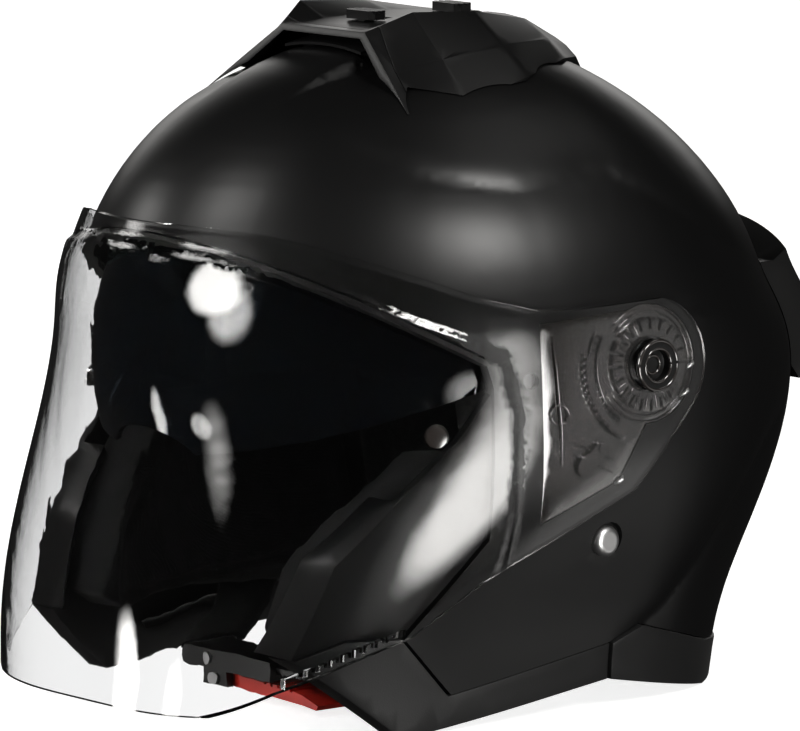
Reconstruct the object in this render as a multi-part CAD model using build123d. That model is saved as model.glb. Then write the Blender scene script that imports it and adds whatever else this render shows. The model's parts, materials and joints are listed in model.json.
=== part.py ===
"""Open face motorcycle helmet with a clear face shield and a drop-down sun visor.

Millimetres. +Z is up, the face looks towards -Y and +X is the wearer's left. The origin is on the
resting plane, under the middle of the helmet's box. Every helmet surface is one dome shape, moved
in or out by an offset, so that the shell, liner, shield and trims follow each other.
While modelling, Y = 0 is the shield's hinge line; write() moves each piece to the row frame.
"""
from build123d import *
import math
import os

# ---- driving dimensions -------------------------------------------------------------------
HINGE_Z = 133.0        # height of the shield's hinge line
DOME_TOP_Z = 250.0     # top of the dome, without the vent cover
HALF_WIDTH = 122.0     # half the shell's width at the hinge
DOME_MID_Y = 8.0       # where the dome is widest
DOME_FRONT = 161.0     # from there to the brow's (virtual) front
DOME_REAR = 117.0      # from there to the back, high on the dome
HINGE_REAR = 136.0     # Y of the back at the hinge's height
ROW_SHIFT_Y = -8.8     # hinge line to row origin

SHELL_T = 4.0          # shell wall
EPS_OUT, EPS_IN = -6.0, -33.0
LINER_OUT, LINER_IN = -33.4, -40.0
SHIELD_IN, SHIELD_OUT = 2.6, 4.9
PAD_OUT, PAD_IN = -4.8, -35.0
PAD_NOSE_X = 46.0      # half the free width between the cheek pads' front ends

HUB_R = 8.5            # shield pivot pin
RUNNING = 0.05         # radial clearance of a turning fit
PLATE_R = 25.0         # round rear end of the shield's side plate
BASE_R = 22.5

LENS_AXIS_Y, LENS_AXIS_Z = -50.0, 130.0   # the sun visor's own hinge line
LENS_REACH = 95.0      # from that line to the lens at the nose
LENS_HALF = 101.0      # half width of the lens
LENS_T = 2.2
LENS_LOW, LENS_HIGH = -19.0, 36.0         # lens edges, degrees above the horizontal
LENS_TRAVEL = 50.0

RIVET = (113.4, -12.6, 66.5)
ANCHOR_X = 102.6       # inner face of the strap's anchor plate
BUCKLE_Y = -88.0
PIN_X, PIN_Z, PIN_R = -13.0, 6.6, 1.3     # the release lever's pin
KNOB_Y, KNOB_SLOT, KNOB_FOOT = -36.0, (-39.2, -24.8), 249.9
SLIDER_Y, SLIDER_SLOT = 6.0, (3.0, 31.2)
WEB_W, WEB_T = 22.0, 1.8

# webbing from its anchor to the buckle, and from the other anchor to the ratchet strip
STRAP_LEFT = [(109, -12.6, 80), (105.8, -13, 58), (99.6, -16, 38), (84, -30, 22), (66, -62, 16.6),
              (49, -88, 16.4)]
STRAP_RIGHT = [(109, -12.6, 80), (105.8, -13, 58), (99.6, -16, 38), (84, -30, 21), (58, -64, 12), (32.3, -88, 13)]

# vent cover: y, then (x, z) from the middle to the foot
VENT_SECTIONS = [
    (-76, [(0, 252), (20, 252), (25, 252), (44, 238), (61, 225)]),
    (-57, [(0, 252.6), (20, 252.6), (25, 252.6), (44, 239), (62, 226)]),
    (-41, [(0, 254), (19, 254), (34, 260), (52, 243.5), (67, 228)]),
    (-10, [(0, 255.6), (18, 255.6), (33, 258.6), (50, 247), (64, 236)]),
    (22, [(0, 254.6), (13, 254.6), (25, 253.4), (38, 247), (48, 240)]),
    (50, [(0, 245), (5, 245), (10, 243.5), (16, 241), (22, 237)]),
    (64, [(0, 232), (3, 232), (5, 231.2), (8, 229.5), (11, 227)]),
    (80, [(0, 213), (2, 213), (3, 212.6), (5, 212), (7, 211)]),
]
VENT_MOUTH = ((-67.3, 220), (-54.4, 260))  # (y, z) line of its open front

# (height, value): half width, front reach, rear reach and squareness of the lower dome
LOWER_WIDTH = [(-12, 98), (0, 100), (25, 102.5), (45, 107), (66, 114), (85, 118.5), (105, 121.4), (133, 122)]
LOWER_FRONT = [(-12, -165), (0, -165), (40, -163), (65, -160), (87, -157), (110, -155), (133, -153)]
LOWER_REAR = [(-12, 97), (0, 100), (25, 106), (52, 117), (78, 129), (98, 136), (115, 139), (133, 136)]
LOWER_POWER = [(-12, 3.5), (0, 3.5), (40, 3.3), (65, 2.8), (87, 2.45), (110, 2.15), (133, 2.0)]
SECTION_Z = [-12, 12, 35, 60, 85, 110, 133, 155, 176, 196, 213, 227, 238, 245.5, 249.3]
REAR_POWER = 2.1
os.makedirs("parts", exist_ok=True)


# ---- the dome -----------------------------------------------------------------------------
def smooth(z, stations):
    """Value at z on a smooth curve through the (z, value) stations."""
    last = len(stations) - 1
    i = max(0, min(last - 1, sum(1 for s in stations if s[0] <= z) - 1))

    def slope(k):
        a, b = stations[max(k - 1, 0)], stations[min(k + 1, last)]
        return (b[1] - a[1]) / (b[0] - a[0])

    (z0, v0), (z1, v1) = stations[i], stations[i + 1]
    h = z1 - z0
    t = (z - z0) / h
    return ((2 * t**3 - 3 * t**2 + 1) * v0 + (t**3 - 2 * t**2 + t) * h * slope(i)
            + (3 * t**2 - 2 * t**3) * v1 + (t**3 - t**2) * h * slope(i + 1))


def round_off(t, power):
    return max(0.0, 1 - t**power) ** (1 / power)


def section(z):
    """Half width, widest Y, front Y, rear Y and front squareness of the dome at height z."""
    if z < HINGE_Z:
        return (smooth(z, LOWER_WIDTH), DOME_MID_Y, smooth(z, LOWER_FRONT),
                smooth(z, LOWER_REAR), smooth(z, LOWER_POWER))
    t = (z - HINGE_Z) / (DOME_TOP_Z - HINGE_Z)
    mid = DOME_MID_Y - 14 * t**2
    fade = max(0.0, 1 - (z - HINGE_Z) / 30) ** 2
    rear = mid + DOME_REAR * round_off(t, 1.8) + (HINGE_REAR - DOME_MID_Y - DOME_REAR) * fade
    return (HALF_WIDTH * round_off(t, 2.1), mid, mid - DOME_FRONT * round_off(t, 2.1), rear, 2.0)


def ring(z, offset, count=24):
    """The dome's outline at height z, moved outwards by offset."""
    width, mid, front, rear, power = section(z)
    level = z + offset * max(0.0, (z - HINGE_Z) / (DOME_TOP_Z - HINGE_Z))

    def grown(reach, full):
        """Above the hinge the offset shrinks with the ring, so that walls stay even to the top."""
        return reach + offset * (reach / full if z > HINGE_Z else 1)

    half = grown(width, HALF_WIDTH)
    ahead = grown(mid - front, DOME_FRONT)
    behind = grown(rear - mid, HINGE_REAR - DOME_MID_Y)
    points = []
    for k in range(count):
        a = 2 * math.pi * k / count
        c, s = math.cos(a), math.sin(a)
        n = power if s < 0 else REAR_POWER
        x = math.copysign(half * abs(c) ** (2 / n), c)
        y = mid + math.copysign((ahead if s < 0 else behind) * abs(s) ** (2 / n), s)
        points.append((x, y, level))
    return Wire([Edge.make_spline(points, periodic=True)])


BLOBS = {}


def blob(offset):
    """The solid dome, moved outwards by offset."""
    if offset not in BLOBS:
        BLOBS[offset] = Solid.make_loft([ring(z, offset) for z in SECTION_Z])
    return BLOBS[offset]


def layer(outer, inner, region):
    """The part of a region between two offsets of the dome."""
    return (region & blob(outer)) - blob(inner)


def on_side(y, z, offset):
    """A plane on the left side of the offset dome at (y, z), facing out."""
    def x_at(y, z):
        width, mid, front, rear, power = section(z)
        n = power if y < mid else REAR_POWER
        reach = (mid - front if y < mid else rear - mid) + offset
        return (width + offset) * (1 - (abs(y - mid) / reach) ** n) ** (1 / n)

    out = Vector(2, x_at(y - 1, z) - x_at(y + 1, z), x_at(y, z - 1) - x_at(y, z + 1))
    return Plane(origin=(x_at(y, z), y, z), z_dir=out)


def prism(outline, x_from=-160.0, x_to=160.0):
    """A side outline of (y, z) points or a ready face in YZ, run across from x_from to x_to."""
    face = outline if isinstance(outline, (Face, Sketch)) else make_face(Polyline(*outline, close=True))
    return Pos(x_from, 0, 0) * extrude(Plane.YZ * face, x_to - x_from)


def hinge_rod(radius, x_from, x_to, y=0.0, z=HINGE_Z):
    return Pos((x_from + x_to) / 2, y, z) * Rot(0, 90, 0) * Cylinder(radius, x_to - x_from)


def box(x, y, z):
    """A block from three (low, high) pairs."""
    return Pos((x[0] + x[1]) / 2, (y[0] + y[1]) / 2, (z[0] + z[1]) / 2) * Box(
        x[1] - x[0], y[1] - y[0], z[1] - z[0])


def write(name, shape):
    solids = (Pos(0, -ROW_SHIFT_Y, 0) * shape).solids()
    kept = [s for s in solids if s.volume > 0.5]
    export_step(kept[0] if len(kept) == 1 else Compound(children=kept), f"parts/{name}.step")


def write_pair(name, shape):
    """A left piece and its mirror image on the right."""
    write(f"{name}_left", shape)
    write(f"{name}_right", mirror(shape, about=Plane.YZ))


# ---- side outlines, (y, z) ----------------------------------------------------------------
SHELL_CUT = [(220, 14), (97, 14), (60, 18), (14, 31), (0, 25.5), (-75, 13.5), (-97, 37),
             (-67, 72), (-64, 128), (-67, 140), (-146, 184), (-230, 184), (-230, -40), (220, -40)]
BROW = [(-67.5, 139.2), (-146.5, 183.2)]
JAW_COVER = [(-98, 38), (-67.6, 73), (-64.6, 126), (-78, 109), (-100, 88), (-122, 65), (-136, 31), (-119, 38)]
JAW_FRONT = [(-100, 88), (-122, 65), (-136, 31), (-132.2, 32.5), (-118.6, 62.8), (-97.6, 84.8)]
JAW_TRIM = [(-135.8, 30.2), (-119, 37.2), (-98, 37), (-75.8, 13), (-0.3, 25), (-0.3, 11), (-84, 0), (-97, 0)]
NECK_TRIM = [(0.3, 25), (14, 30.4), (60, 17.5), (97, 13.5), (180, 13.5), (180, 0), (60, 0), (0.3, 11)]
EPS_CUT = [(220, 51), (27, 51), (27, 109), (-56, 109), (-58, 142), (-150, 193), (-230, 193),
           (-230, -40), (220, -40)]
CROWN = [(160, 100), (26, 100), (26, 108), (-42, 108), (-52, 146), (-150, 200), (-150, 260), (160, 260)]
CHEEK_PAD = [(-66, 106), (-78, 104), (-99, 82), (-117, 61), (-129, 35), (-112, 26), (24, 28), (24, 106)]
NECK_ROLL = [(27, 49), (180, 49), (180, 16), (97, 16), (60, 20.5), (27, 30)]


def shield_outline():
    """Side view of the face shield: straight runs, and a round end about the hinge."""
    start = (5, HINGE_Z + math.sqrt(PLATE_R**2 - 25))
    end = (PLATE_R * math.cos(math.radians(-36)), HINGE_Z + PLATE_R * math.sin(math.radians(-36)))
    rear = ThreePointArc(start, (PLATE_R, HINGE_Z), end)
    rest = Polyline(end, (-6.5, 86.5), (-70, 57.5), (-97, 38.5), (-120, 30), (-143, 20), (-160, 10),
                    (-200, 5), (-200, 186.5), (-139, 186.2), (-128, 184.8), (-97, 173), (-70, 162),
                    (-49, 156.4), (-37, 155.6), start)
    return make_face(rear + rest)


def base_outline(inset=0.0):
    """The pivot base: a disc about the hinge with a forward wing."""
    disc = Pos(0, HINGE_Z) * Circle(BASE_R - inset)
    wing = make_face(Polyline((-46 + inset, 151 - inset), (0, 154.5 - inset), (0, 112), (-12, 90 + inset),
                              (-46 + inset, 76 + inset), close=True))
    return disc + wing


# ---- outer pieces -------------------------------------------------------------------------
def outer_shell():
    shell = (Part() + blob(0)) - blob(-SHELL_T) - prism(SHELL_CUT)
    pocket = layer(0.5, -2.2, prism(base_outline(), 80, 140))
    shell -= pocket
    shell -= mirror(pocket, about=Plane.YZ)
    shell -= box((-2.6, 2.6), SLIDER_SLOT, (235, 262))
    for side in (1, -1):
        x, y, z = RIVET
        shell -= hinge_rod(7.4, *sorted((side * 112.3, side * 125)), y=y, z=z)
        shell -= hinge_rod(2.45, *sorted((side * 100, side * 125)), y=y, z=z)
        shell -= hinge_rod(3.0, *sorted((side * 100, side * 130)), y=LENS_AXIS_Y, z=LENS_AXIS_Z)
        shell -= box(sorted((side * 10, side * 22)), (-55.5, -49.5), (225, 262))
    return shell


def brow_gasket():
    (y0, z0), (y1, z1) = BROW
    return layer(0.9, -5.0, prism([(y0, z0), (y1, z1), (y1 + 1.5, z1 - 3), (y0 + 1.5, z0 - 3)]))


def spoiler():
    outline = [(60, 158), (104, 159), (124, 172), (160, 166), (165, 140), (150, 112), (118, 112), (96, 140)]
    inside = [(72, 154.5), (105, 156), (125, 168.5), (157, 163), (161, 141), (148, 115.5), (119.5, 115.5),
              (98.5, 142.5)]
    return layer(13, 0.4, prism(outline, -76, 76)) - layer(10.2, 0.0, prism(inside, -73, 73))


def jaw_cover():
    skin = layer(-0.8, -3.8, prism(JAW_COVER, 10, 160))
    return skin + layer(-0.8, -15, prism(JAW_FRONT, 10, 160))


def jaw_trim():
    return layer(-0.5, -11, prism(JAW_TRIM, 10, 160))


def neck_trim():
    return layer(0.8, -12, prism(NECK_TRIM))


def face_shield():
    shield = layer(SHIELD_OUT, SHIELD_IN, prism(shield_outline()))
    shield -= hinge_rod(HUB_R + RUNNING, -140, 140)
    pin = lens_pin()
    return shield - pin - mirror(pin, about=Plane.YZ)


def shield_grip():
    """The ribbed ledge that a thumb lifts, on the left lower edge of the shield."""
    ledge = layer(7.0, SHIELD_OUT, prism([(-102, 38), (-120, 31.5), (-143, 21.5), (-143, 25.5),
                                          (-120, 35.5), (-102, 42)], 10, 160))
    for k in range(9):
        y = -105 - 4 * k
        ledge -= box((10, 160), (y - 0.8, y + 0.8), (40.2 - 0.4 * (-102 - y), 60))
    return ledge


def lens_pin():
    """Eccentric pin that holds an anti-fog insert, square to the shield."""
    return on_side(-88, 112, (SHIELD_IN + SHIELD_OUT) / 2) * Cylinder(4.5, 4.9)


# ---- pivot mechanism, left side -----------------------------------------------------------
def pivot_base():
    plate = layer(-0.4, -2.0, prism(base_outline(0.3), 80, 140))
    return plate - hinge_rod(HUB_R + RUNNING, 100, 140)


def ratchet_ring():
    """Toothed ring about the hinge, with the detent rack in front of it."""
    ring_face = Circle(17.5) - Circle(10.5)
    for k in range(20):
        ring_face -= Rot(0, 0, 18 * k) * Pos(15.6, 0) * Rectangle(5, 1.3)
    rack = Circle(30) - Circle(26)
    for k in range(12):
        rack -= Rot(0, 0, 172 + 5 * k) * Pos(30, 0) * Rectangle(2.6, 1.2)
    wedge = make_face(Polyline((0, 0), (-60, 12), (-60, -52), (-26, -60), close=True))
    face = Pos(0, HINGE_Z) * (ring_face + (rack & wedge))
    return layer(1.7, -0.3, prism(face & base_outline(0.8), 80, 140))


def pivot_pin():
    pin = hinge_rod(HUB_R, 120.6, 127.2) + hinge_rod(10.0, 127.1, 128.4)
    return pin - hinge_rod(6.0, 124.5, 130)


def shield_catch():
    """Sprung catch that frees the shield from its base."""
    lever = Pos(-25, 100) * Rot(0, 0, 45) * SlotOverall(14, 6)
    button = Pos(-28, 97) * Circle(4.2)
    rise = prism(Pos(-21.5, 103.5) * Circle(2.0), 80, 140)
    return layer(1.5, 0.2, prism(lever + button, 80, 140)) + layer(2.1, -0.3, rise)


# ---- top vent -----------------------------------------------------------------------------
def vent_loft(widen, lower, y_from, y_to):
    """The vent cover's body through its cross sections, centre to foot, mirrored."""
    wires = []
    for y, half in VENT_SECTIONS:
        if y_from <= y <= y_to:
            top = [(x * widen, z - lower) for x, z in half]
            foot = top[-1][0]
            outline = [(-x, z) for x, z in reversed(top[1:])] + top + [(foot, 195), (-foot, 195)]
            wires.append(Wire.make_polygon([(x, y, z) for x, z in outline]))
    return Part() + Solid.make_loft(wires, ruled=True)


def ahead_of_vent(back):
    """Everything in front of the vent's sloping mouth, moved back by some millimetres."""
    low, high = VENT_MOUTH
    slope = (high[0] - low[0]) / (high[1] - low[1])
    return prism([(low[0] - 30 * slope + back, low[1] - 30), (high[0] + 30 * slope + back, high[1] + 30),
                  (-120, high[1] + 30), (-120, low[1] - 30)])


def vent_body():
    body = vent_loft(1.0, 0.0, -80, 80) - vent_loft(0.93, 2.4, -80, 30)
    return body - blob(0.4)


def vent_cover():
    cover = vent_body() - ahead_of_vent(4.3)
    cover -= box((-2.6, 2.6), KNOB_SLOT, (240, 262))
    return cover - box((-2.6, 2.6), SLIDER_SLOT, (240, 262))


def vent_frame():
    return (vent_body() & ahead_of_vent(4.0)) - ahead_of_vent(0.0)


def vent_shutter():
    gate = layer(2.4, 1.4, box((-23, 23), (-57, -34), (230, 262)))
    return gate - box((-2.2, 2.2), (KNOB_Y - 2.5, KNOB_Y + 2.5), (240, 262))


def slide_knob(y, top, width, depth, stem_low):
    """A ribbed thumb knob on a stem that runs in a slot."""
    knob = box((-width / 2, width / 2), (y - depth / 2, y + depth / 2), (top - 3.4, top))
    knob = chamfer(knob.edges().filter_by(Axis.Z), 2.0)
    for k in (-1, 0, 1):
        knob -= box((-width, width), (y - 0.6 + 2.4 * k, y + 0.6 + 2.4 * k), (top - 0.9, top + 1))
    return knob + box((-2.2, 2.2), (y - 2.5, y + 2.5), (stem_low, top - 3.3))


# ---- liners and pads ----------------------------------------------------------------------
def lens_radius(x):
    """Distance of the sun visor from its own hinge line, x away from the middle."""
    return (LENS_REACH + 58) * math.sqrt(1 - (x / 113) ** 2) - 58


def lens_line(extra, half):
    xs = [half * k / 5 for k in range(-5, 6)]
    return [(x, lens_radius(abs(x)) + extra) for x in xs]


def turned(face, low, high):
    """Turns a face of (x, radius) about the lens axis, from low to high degrees."""
    face = Rot(-high, 0, 0) * mirror(face, about=Plane.XZ)
    return Pos(0, LENS_AXIS_Y, LENS_AXIS_Z) * revolve(face, Axis.X, high - low)


def sun_visor():
    outer, inner = lens_line(0, LENS_HALF), lens_line(-LENS_T, LENS_HALF)
    band = make_face(Spline(*outer) + Spline(*inner) + Line(outer[0], inner[0]) + Line(outer[-1], inner[-1]))
    lens = turned(band, LENS_LOW, LENS_HIGH)
    # the nose notch rises between two lobes
    notch = Pos(0, -140, 95) * Rot(90, 0, 0) * Ellipse(26, 14)
    lens -= extrude(notch, 60, both=True)
    for side in (1, -1):
        lens += hinge_rod(11, *sorted((side * (LENS_HALF - 1), side * (LENS_HALF + 2.2))), LENS_AXIS_Y, LENS_AXIS_Z)
    return lens - hinge_rod(3.0, -110, 110, LENS_AXIS_Y, LENS_AXIS_Z)


def lens_space():
    """Room in the liner for the sun visor and its whole travel."""
    half = LENS_HALF - 2.5
    line = lens_line(-5.0, half)
    core = make_face(Spline(*line) + Polyline(line[-1], (half, 0), (-half, 0), line[0]))
    block = Pos(0, 65) * Rectangle(219, 130)
    room = turned(block - core, -30, LENS_HIGH + LENS_TRAVEL + 6)
    for side in (1, -1):
        room += hinge_rod(14, *sorted((side * 96, side * 112)), LENS_AXIS_Y, LENS_AXIS_Z)
    return room


def sun_visor_pin():
    pin = hinge_rod(3.0 - RUNNING, 97, 112.5, LENS_AXIS_Y, LENS_AXIS_Z)
    return pin + hinge_rod(6.5, 103.6, 105.4, LENS_AXIS_Y, LENS_AXIS_Z)


def eps_liner():
    liner = (Part() + blob(EPS_OUT)) - blob(EPS_IN) - prism(EPS_CUT) - lens_space()
    return liner - box((-6, 6), (-2, 38), (236, 262))


def crown_liner():
    return layer(LINER_OUT, LINER_IN, prism(CROWN))


def visor_cable():
    """The slider's cable, lying between shell and liner down to the left lens hinge."""
    return layer(-4.3, -5.7, prism([(19, 240), (21.5, 240), (-47, 143), (-49.5, 143)], 7, 125))


def beside(outline, gap):
    """The room of an edge trim, with some clearance around its side outline."""
    return layer(1.0, -12.5, prism(offset(make_face(Polyline(*outline, close=True)), gap), 10, 160))


def cheek_pad():
    x, y, z = RIVET
    pad = layer(PAD_OUT, PAD_IN, prism(CHEEK_PAD, PAD_NOSE_X, 160))
    pad -= beside(JAW_TRIM, 0.5)
    pad -= beside(NECK_TRIM, 0.5)
    pad -= ribbon(STRAP_LEFT, WEB_W + 3, WEB_T + 5)
    return pad - box((ANCHOR_X - 1.5, 125), (y - 11, y + 11), (z - 11, z + 11))


def neck_roll():
    return layer(PAD_OUT, -25, prism(NECK_ROLL))


# ---- strap and buckle ---------------------------------------------------------------------
def ribbon(points, width, thickness):
    """Webbing through the points: its width runs along Y and it bends in XZ."""
    wires = []
    for k, (x, y, z) in enumerate(points):
        a, b = points[max(k - 1, 0)], points[min(k + 1, len(points) - 1)]
        run = math.hypot(b[0] - a[0], b[2] - a[2])
        nx, nz = -(b[2] - a[2]) / run * thickness / 2, (b[0] - a[0]) / run * thickness / 2
        w = width / 2
        wires.append(Wire.make_polygon([(x - nx, y - w, z - nz), (x + nx, y - w, z + nz),
                                        (x + nx, y + w, z + nz), (x - nx, y + w, z - nz)]))
    return Part() + Solid.make_loft(wires, ruled=True)


def rivet():
    """Domed head, and a stem through shell, webbing and anchor plate."""
    x, y, z = RIVET
    seat = 112.35
    head = hinge_rod(6, seat, seat + 3.4, y, z)
    head = fillet(head.edges().sort_by(Axis.X)[-1], 2.9)
    return head + hinge_rod(2.4, ANCHOR_X, seat, y, z)


def strap(points):
    x, y, z = RIVET
    hole = hinge_rod(2.4, -125, 125, y, z)
    return ribbon(points, WEB_W, WEB_T) - hole


def anchor_plate():
    x, y, z = RIVET
    plate = box((ANCHOR_X, ANCHOR_X + 1.4), (y - 9, y + 9), (z - 9, z + 9))
    return plate - hinge_rod(2.4, 90, 120, y, z)


def cross_rod(radius, y_from, y_to, x, z):
    return Pos(x, (y_from + y_to) / 2, z) * Rot(90, 0, 0) * Cylinder(radius, y_to - y_from)


def buckle_body():
    y0, y1 = BUCKLE_Y - 11, BUCKLE_Y + 11
    body = box((-32, 20), (y0, y1), (10, 17))
    body -= box((-28, 21), (y0 + 3.4, y1 - 3.4), (11.8, 15.6))
    body -= box((-10, 2), (BUCKLE_Y - 5.2, BUCKLE_Y + 5.2), (9, 12))
    for low, high in ((y0, y0 + 2.8), (y1 - 2.8, y1)):
        body += box((-20, -6), (low, high), (4.0, 10.1))
    body -= cross_rod(PIN_R, y0 - 1, y1 + 1, PIN_X, PIN_Z)
    return body - cross_rod(1.2, y0 - 1, y0 + 2, -17, 13.5)


def ratchet_strip():
    strip = box((-22, 52), (BUCKLE_Y - 7.3, BUCKLE_Y + 7.3), (12.2, 14.8))
    for k in range(26):
        strip -= Pos(-18 + 2.4 * k, BUCKLE_Y, 12.2) * Rot(0, 45, 0) * Box(1.3, 16, 1.3)
    return strip - box((45, 48.5), (BUCKLE_Y - 5, BUCKLE_Y + 5), (10, 17))


def release_lever():
    """Pivots on its pin; its pawl reaches through the body's window to the strip's teeth."""
    side = make_face(Polyline((-16, 4.4), (36, 2.6), (44, 1.8), (45, 3.6), (36, 6.4), (20, 8.6),
                              (-9, 8.8), (-16, 8.6), close=True))
    lever = Pos(0, BUCKLE_Y + 7.4, 0) * extrude(Plane.XZ * side, 14.8)
    for k in range(5):
        lever -= box((12 + 4 * k, 13.6 + 4 * k), (BUCKLE_Y - 8, BUCKLE_Y + 8), (8.0 - 0.35 * k, 12))
    lever += box((-6.5, -3.5), (BUCKLE_Y - 4.5, BUCKLE_Y + 4.5), (8.5, 12.0))
    lever -= box((-20, -8), (BUCKLE_Y + 4, BUCKLE_Y + 8), (0, 12))
    return lever - cross_rod(PIN_R + RUNNING, BUCKLE_Y - 10, BUCKLE_Y + 10, PIN_X, PIN_Z)


def lever_pin():
    pin = cross_rod(PIN_R, BUCKLE_Y - 11, BUCKLE_Y + 11, PIN_X, PIN_Z)
    return pin + cross_rod(2.3, BUCKLE_Y - 12, BUCKLE_Y - 11, PIN_X, PIN_Z)


def lever_spring():
    coil = cross_rod(2.2, BUCKLE_Y + 4.6, BUCKLE_Y + 7.4, PIN_X, PIN_Z)
    return coil - cross_rod(PIN_R + 0.1, BUCKLE_Y, BUCKLE_Y + 10, PIN_X, PIN_Z)


def buckle_rivet():
    stem = cross_rod(1.2, BUCKLE_Y - 11, BUCKLE_Y - 9, -17, 13.5)
    return stem + cross_rod(2.4, BUCKLE_Y - 12.2, BUCKLE_Y - 11, -17, 13.5)


def main():
    write("outer_shell", outer_shell())
    write("brow_gasket", brow_gasket())
    write("spoiler", spoiler())
    write_pair("jaw_cover", jaw_cover())
    write_pair("jaw_trim", jaw_trim())
    write("neck_trim", neck_trim())
    write("face_shield", face_shield())
    write("shield_grip", shield_grip())
    write_pair("insert_pin", lens_pin())
    write_pair("pivot_base", pivot_base())
    write_pair("ratchet_ring", ratchet_ring())
    write_pair("pivot_pin", pivot_pin())
    write_pair("shield_catch", shield_catch())
    write("vent_cover", vent_cover())
    write("vent_frame", vent_frame())
    write("vent_shutter", vent_shutter())
    write("vent_knob", slide_knob(KNOB_Y, 258.4, 17, 8.5, KNOB_FOOT))
    write("sun_visor_slider", slide_knob(SLIDER_Y, 259.0, 17, 8.5, 244.5))
    write("sun_visor", sun_visor())
    write_pair("sun_visor_pin", sun_visor_pin())
    write("visor_cable", visor_cable())
    write("eps_liner", eps_liner())
    write("crown_liner", crown_liner())
    write_pair("cheek_pad", cheek_pad())
    write("neck_roll", neck_roll())
    write_pair("strap_rivet", rivet())
    write_pair("strap_anchor", anchor_plate())
    write("chin_strap_left", strap(STRAP_LEFT))
    write("chin_strap_right", strap([(-x, y, z) for x, y, z in STRAP_RIGHT]))
    write("buckle_body", buckle_body())
    write("buckle_rivet", buckle_rivet())
    write("ratchet_strip", ratchet_strip())
    write("release_lever", release_lever())
    write("lever_pin", lever_pin())
    write("lever_spring", lever_spring())


if __name__ == "__main__":
    main()
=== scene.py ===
"""Looks of the open face motorcycle helmet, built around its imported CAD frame.

Metres. +Z is up, the face looks towards -Y and +X is the wearer's left. Places are given to at() in
millimetres from the shield's hinge line in Y, as they are in the CAD model, and from the floor in Z.
"""
import bmesh
import bpy
import json
import math
from mathutils import Matrix, Vector
from mathutils.bvhtree import BVHTree


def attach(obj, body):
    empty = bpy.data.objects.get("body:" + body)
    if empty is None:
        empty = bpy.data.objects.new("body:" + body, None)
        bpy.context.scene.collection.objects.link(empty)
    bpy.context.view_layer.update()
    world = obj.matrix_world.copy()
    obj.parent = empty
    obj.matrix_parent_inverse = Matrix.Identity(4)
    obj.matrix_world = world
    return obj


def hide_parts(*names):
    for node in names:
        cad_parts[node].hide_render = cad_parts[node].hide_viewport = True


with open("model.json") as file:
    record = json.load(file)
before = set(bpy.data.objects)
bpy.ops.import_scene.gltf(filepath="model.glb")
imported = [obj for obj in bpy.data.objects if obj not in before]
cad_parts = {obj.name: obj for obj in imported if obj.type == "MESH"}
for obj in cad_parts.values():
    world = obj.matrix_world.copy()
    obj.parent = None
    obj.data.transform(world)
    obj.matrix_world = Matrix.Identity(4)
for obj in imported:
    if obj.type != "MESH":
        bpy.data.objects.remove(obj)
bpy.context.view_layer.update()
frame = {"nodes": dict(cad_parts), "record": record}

HINGE_Y = 8.8          # mm, the shield's hinge line in the row frame
HINGE_Z = 133.0


def at(x, y, z):
    """A point in metres from millimetres, with Y counted from the hinge line."""
    return Vector((x, y + HINGE_Y, z)) / 1000


def mm(point):
    """A point of the row frame in at()'s millimetres."""
    return point.x * 1000, point.y * 1000 - HINGE_Y, point.z * 1000


# ---- camera -------------------------------------------------------------------------------
AZIMUTH = math.radians(51)         # from straight ahead of the face towards the wearer's left
ELEVATION = math.radians(8)
DISTANCE = 2.7                     # metres
FOCAL_LENGTH = 315.9               # mm, on a 36 mm wide sensor
AIM = at(0, 0, 130)                # a point of the helmet near the middle of the picture
AIM_RIGHT, AIM_UP = 0.01506, 0.0109    # metres, how far it is right of and above the middle


def place_camera():
    right = Vector((math.cos(AZIMUTH), math.sin(AZIMUTH), 0))
    towards = Vector((math.sin(AZIMUTH) * math.cos(ELEVATION), -math.cos(AZIMUTH) * math.cos(ELEVATION),
                      math.sin(ELEVATION)))
    up = towards.cross(right)
    target = AIM - AIM_RIGHT * right - AIM_UP * up
    lens = bpy.data.cameras.new("camera")
    lens.lens = FOCAL_LENGTH
    lens.sensor_width = 36
    lens.clip_end = 50
    camera = bpy.data.objects.new("camera", lens)
    bpy.context.scene.collection.objects.link(camera)
    camera.matrix_world = Matrix((right, up, towards)).transposed().to_4x4()
    camera.location = target + DISTANCE * towards
    bpy.context.scene.camera = camera


place_camera()


# ---- studio -------------------------------------------------------------------------------
# far soft lights as the helmet sees them, in degrees and brightness: azimuth (0 is ahead of the face, 90
# is the wearer's left), elevation, half width, half height
SOFTBOXES = [
    (94, 39, 9, 10, 19.0),      # key, above the wearer's left
    (-20, 47, 12, 11, 6.0),     # brow
    (134, -28, 15, 12, 0.6),    # low, behind the wearer's left
    (126, -6, 24, 16, 0.2),     # faint, level
    (231, 14, 30, 9, 1.6),      # rim, behind
    (150, 62, 20, 14, 0.5),     # top
]
# near soft lights: centre and the point they face, in metres, width, height and brightness
PANELS = [
    ((0.42, -0.045, 0.045), (0.1, -0.05, 0.055), 0.19, 0.24, 8.0),       # left side
    ((0.05, -0.5, 0.285), (0.03, -0.1, 0.17), 0.2, 0.23, 15.0),          # ahead of the face
    ((-0.41, -0.33, 0.41), (0, -0.04, 0.25), 0.24, 0.13, 5.0),           # glance over the crown
    ((-0.24, -0.42, -0.03), (0.02, -0.16, 0.03), 0.075, 0.15, 14.0),     # low, right of the face
    ((-0.045, -0.4, -0.03), (0.03, -0.13, 0.12), 0.075, 0.08, 12.0),     # small, below the face
]
FILL = 0.012                        # brightness all round
LIGHT_COLOUR = (1, 0.985, 0.96)     # slightly warm


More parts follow.
